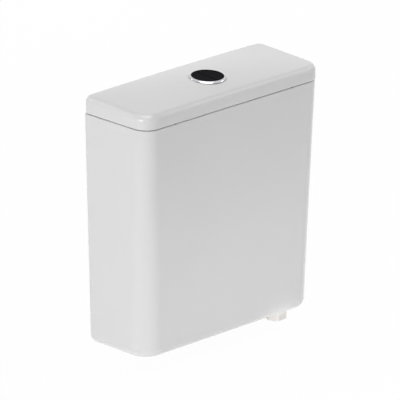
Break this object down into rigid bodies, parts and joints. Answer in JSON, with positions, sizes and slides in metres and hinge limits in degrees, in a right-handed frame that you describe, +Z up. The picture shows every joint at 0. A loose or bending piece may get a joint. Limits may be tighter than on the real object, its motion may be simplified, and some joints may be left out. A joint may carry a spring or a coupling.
{
  "type": "toilet cistern",
  "caption": "Slim close-coupled ceramic toilet cistern with a lift-off lid, split push button, dual flush valve and bottom-entry fill valve.",
  "frame": {"origin": "on the flush outlet's axis, level with the lowest edge of the ceramic tank", "axes": "+X to the right seen from the front, +Y back to the wall, +Z up"},
  "size_m": [0.364, 0.1338, 0.4165],
  "materials": {
    "glazed_ceramic": "white glaze, fired smooth",
    "bright_chrome": "plated and polished",
    "black_button": "near-black gloss",
    "white_plastic": "moulded, satin",
    "grey_plastic": "moulded, satin",
    "blue_plastic": "moulded, satin",
    "black_rubber": "moulded rubber",
    "grey_foam": "closed-cell sponge",
    "fibre": "plain plastic washer",
    "steel": "drawn wire",
    "filter_mesh": "moulded"
  },
  "bodies": {
    "cistern": {"tank": "glazed_ceramic", "lid_pads": "black_rubber", "flush_valve_base": "grey_plastic", "seat_washer": "black_rubber", "flush_valve_backnut": "white_plastic", "coupling_gasket": "grey_foam", "valve_cage": "white_plastic", "cage_posts": "white_plastic", "valve_deck": "white_plastic", "lever_pins": "steel", "inlet_shank": "grey_plastic", "inlet_filter": "filter_mesh", "shank_washer": "black_rubber", "inlet_nut_washer": "fibre", "inlet_nut": "white_plastic", "fill_riser": "grey_plastic", "riser_lock_collar": "white_plastic", "fill_valve_head": "grey_plastic", "fill_diaphragm": "black_rubber", "fill_valve_cap": "white_plastic", "arm_pin": "steel"},
    "lid_set": {"lid": "glazed_ceramic", "button_bezel": "bright_chrome", "bezel_gasket": "grey_foam", "bezel_nut": "white_plastic", "full_return_spring": "steel", "half_return_spring": "steel"},
    "full_button": {"full_flush_button": "black_button", "full_push_rod": "grey_plastic", "full_rod_nut": "white_plastic"},
    "half_button": {"half_flush_button": "black_button", "half_push_rod": "grey_plastic", "half_rod_nut": "white_plastic"},
    "full_lever": {"full_flush_lever": "white_plastic"},
    "half_lever": {"half_flush_lever": "white_plastic"},
    "half_lift": {"lift_yoke": "white_plastic", "half_float_stem": "grey_plastic", "half_flush_float": "blue_plastic"},
    "flush_tube": {"overflow_tube": "grey_plastic", "seal_plate": "grey_plastic", "lift_collar": "white_plastic", "flush_seal": "black_rubber", "seal_retainer": "grey_plastic", "full_flush_float": "blue_plastic"},
    "fill_float_set": {"fill_float": "blue_plastic", "adjusting_rod": "grey_plastic"},
    "fill_arm": {"float_arm": "white_plastic"},
    "fill_pin": {"fill_plunger": "grey_plastic"}
  },
  "joints": [
    {"name": "lid_lift", "type": "slide", "parent": "cistern", "child": "lid_set", "axis": [0, 0, 1], "range_m": [0, 0.12]},
    {"name": "full_flush_press", "type": "slide", "parent": "lid_set", "child": "full_button", "axis": [0, 0.0592, -0.9982], "range_m": [0, 0.005], "stiffness_N_per_m": 180, "springref_m": -0.005, "deforming": ["full_return_spring"]},
    {"name": "half_flush_press", "type": "slide", "parent": "lid_set", "child": "half_button", "axis": [0, 0.0592, -0.9982], "range_m": [0, 0.005], "stiffness_N_per_m": 180, "springref_m": -0.005, "deforming": ["half_return_spring"]},
    {"name": "full_lever_turn", "type": "hinge", "parent": "cistern", "child": "full_lever", "pos_m": [0.031, 0, 0.271], "axis": [0, -1, 0], "range_deg": [0, 21.5]},
    {"name": "half_lever_turn", "type": "hinge", "parent": "cistern", "child": "half_lever", "pos_m": [-0.031, 0, 0.271], "axis": [0, 1, 0], "range_deg": [0, 21.5]},
    {"name": "half_lift_rise", "type": "slide", "parent": "cistern", "child": "half_lift", "axis": [0, 0, 1], "range_m": [0, 0.0098]},
    {"name": "flush_tube_rise", "type": "slide", "parent": "half_lift", "child": "flush_tube", "axis": [0, 0, 1], "range_m": [0, 0.0098]},
    {"name": "fill_float_rise", "type": "slide", "parent": "cistern", "child": "fill_float_set", "axis": [0, 0, 1], "range_m": [0, 0.008]},
    {"name": "float_arm_turn", "type": "hinge", "parent": "cistern", "child": "fill_arm", "pos_m": [0.13, -0.015, 0.3166], "axis": [0, 1, 0], "range_deg": [0, 17.7]},
    {"name": "fill_pin_press", "type": "slide", "parent": "cistern", "child": "fill_pin", "axis": [0, 0, -1], "range_m": [0, 0.0025]}
  ],
  "couplings": [
    {"joint": "full_lever_turn", "follows": "full_flush_press", "rad_per_m": 75},
    {"joint": "flush_tube_rise", "follows": "full_flush_press", "ratio": 1.95},
    {"joint": "half_lever_turn", "follows": "half_flush_press", "rad_per_m": 75},
    {"joint": "half_lift_rise", "follows": "half_flush_press", "ratio": 1.95},
    {"joint": "float_arm_turn", "follows": "fill_float_rise", "rad_per_m": 38.5},
    {"joint": "fill_pin_press", "follows": "fill_float_rise", "ratio": 0.3}
  ]
}
